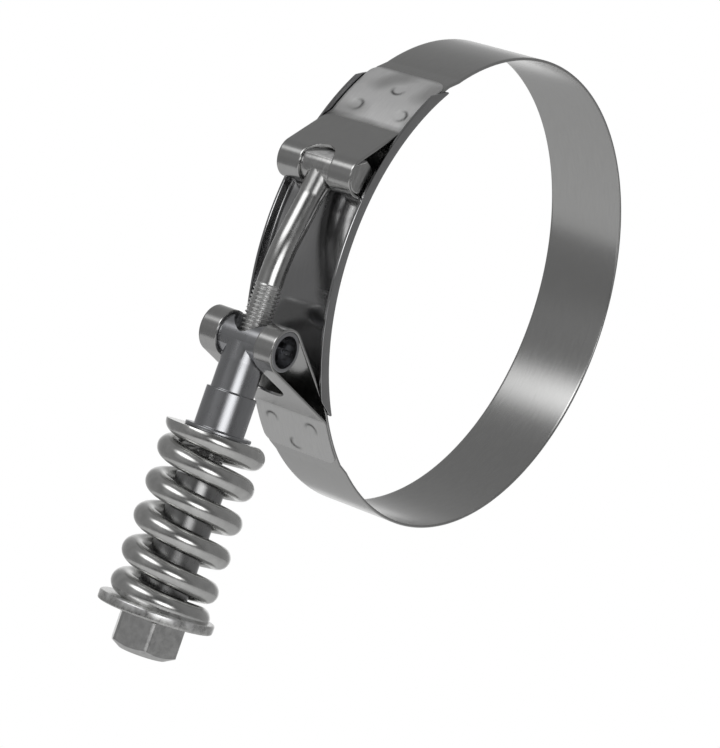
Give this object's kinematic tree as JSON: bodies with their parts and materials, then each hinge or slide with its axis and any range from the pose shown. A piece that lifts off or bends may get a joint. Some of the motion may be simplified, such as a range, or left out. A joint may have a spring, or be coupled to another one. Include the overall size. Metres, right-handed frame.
{
  "type": "t-bolt hose clamp",
  "caption": "Spring-loaded T-bolt hose clamp: a looped steel band with a bridge plate across its gap, closed by a bent T-bolt, trunnion, coil spring, washer and lock nut.",
  "frame": {"origin": "centre of the hose bore, on the hose's axis, at the middle of the band's width", "axes": "+Y along the hose's axis; +Z along the bolt's straight axis, from the nut towards the cross bar; the bolt stands on the -X side of the ring"},
  "size_m": [0.134, 0.0262, 0.1548],
  "materials": {
    "band": "satin rolled stainless strip, bare round the spot welds",
    "bridge": "bright rolled stainless sheet",
    "t_bolt": "bright forged steel with a rolled thread",
    "trunnion": "satin steel tube",
    "spring": "bright drawn spring wire",
    "stop_sleeve": "plain steel tube",
    "washer": "scuffed zinc-coated steel",
    "lock_nut": "satin zinc-coated steel"
  },
  "bodies": {
    "ring": {"band": "band", "bridge": "bridge"},
    "bolt": {"t_bolt": "t_bolt", "spring": "spring"},
    "trunnion": {"trunnion": "trunnion"},
    "follower": {"washer": "washer", "stop_sleeve": "stop_sleeve"},
    "nut": {"lock_nut": "lock_nut"}
  },
  "joints": [
    {"name": "t_bolt_pivot", "type": "hinge", "parent": "ring", "child": "bolt", "pos_m": [-0.05916, 0, 0.0142], "axis": [0, 1, 0], "range_deg": [-1, 1]},
    {"name": "trunnion_pivot", "type": "hinge", "parent": "ring", "child": "trunnion", "pos_m": [-0.0646, 0, -0.0267], "axis": [0, 1, 0], "range_deg": [-1, 1]},
    {"name": "nut_travel", "type": "slide", "parent": "bolt", "child": "follower", "axis": [0, 0, 1], "range_m": [0, 0.00998], "deforming": ["spring"]},
    {"name": "nut_turn", "type": "hinge", "parent": "follower", "child": "nut", "pos_m": [-0.0646, 0, -0.0942], "axis": [0, 0, 1], "range_deg": [0, 3960]}
  ],
  "couplings": [
    {"joint": "trunnion_pivot", "follows": "t_bolt_pivot", "ratio": 1},
    {"joint": "nut_travel", "follows": "nut_turn", "m_per_rad": 0.00014435}
  ]
}
